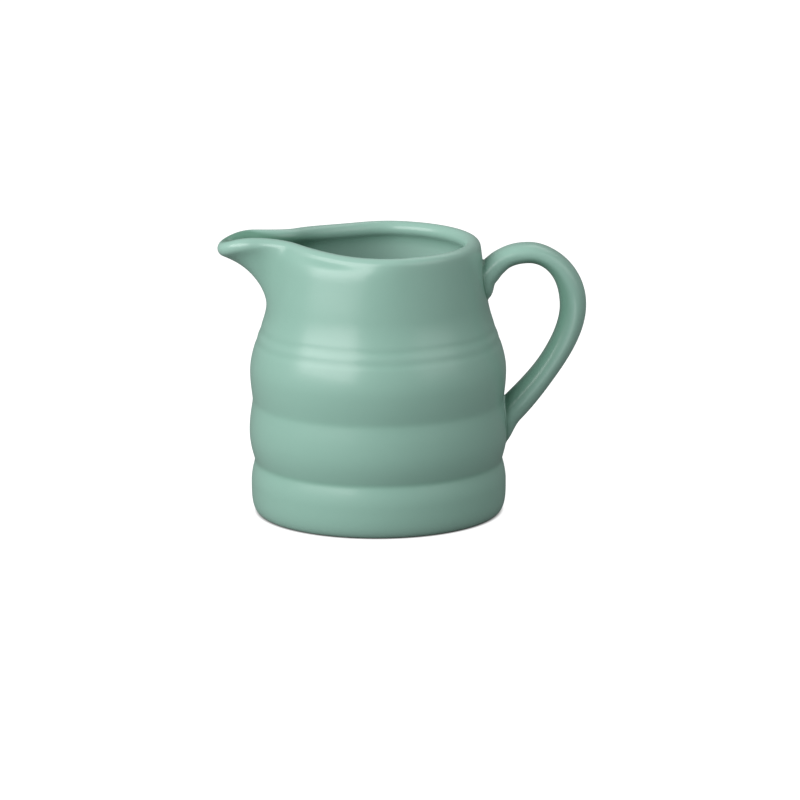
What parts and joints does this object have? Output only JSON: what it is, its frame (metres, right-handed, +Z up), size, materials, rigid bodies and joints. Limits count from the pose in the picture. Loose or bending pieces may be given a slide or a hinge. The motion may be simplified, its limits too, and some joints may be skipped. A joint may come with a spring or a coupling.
{
  "type": "churn jug",
  "caption": "Small glazed churn jug for milk or batter, with a banded barrel body, a rolled rim pulled out into a spout and a curved strap handle.",
  "frame": {"origin": "centre of the foot ring, on the plane that the jug stands on", "axes": "+Z up along the body's axis, +X towards the handle, -X towards the spout"},
  "size_m": [0.1223, 0.086, 0.094],
  "materials": {
    "glazed_body": "glossy sage green glaze over stoneware",
    "glazed_handle": "glossy sage green glaze over stoneware",
    "glazed_slip": "glossy sage green glaze pooled in the joint"
  },
  "bodies": {
    "root": {"jug_body": "glazed_body", "handle": "glazed_handle", "upper_slip_joint": "glazed_slip", "lower_slip_joint": "glazed_slip"}
  },
  "joints": []
}
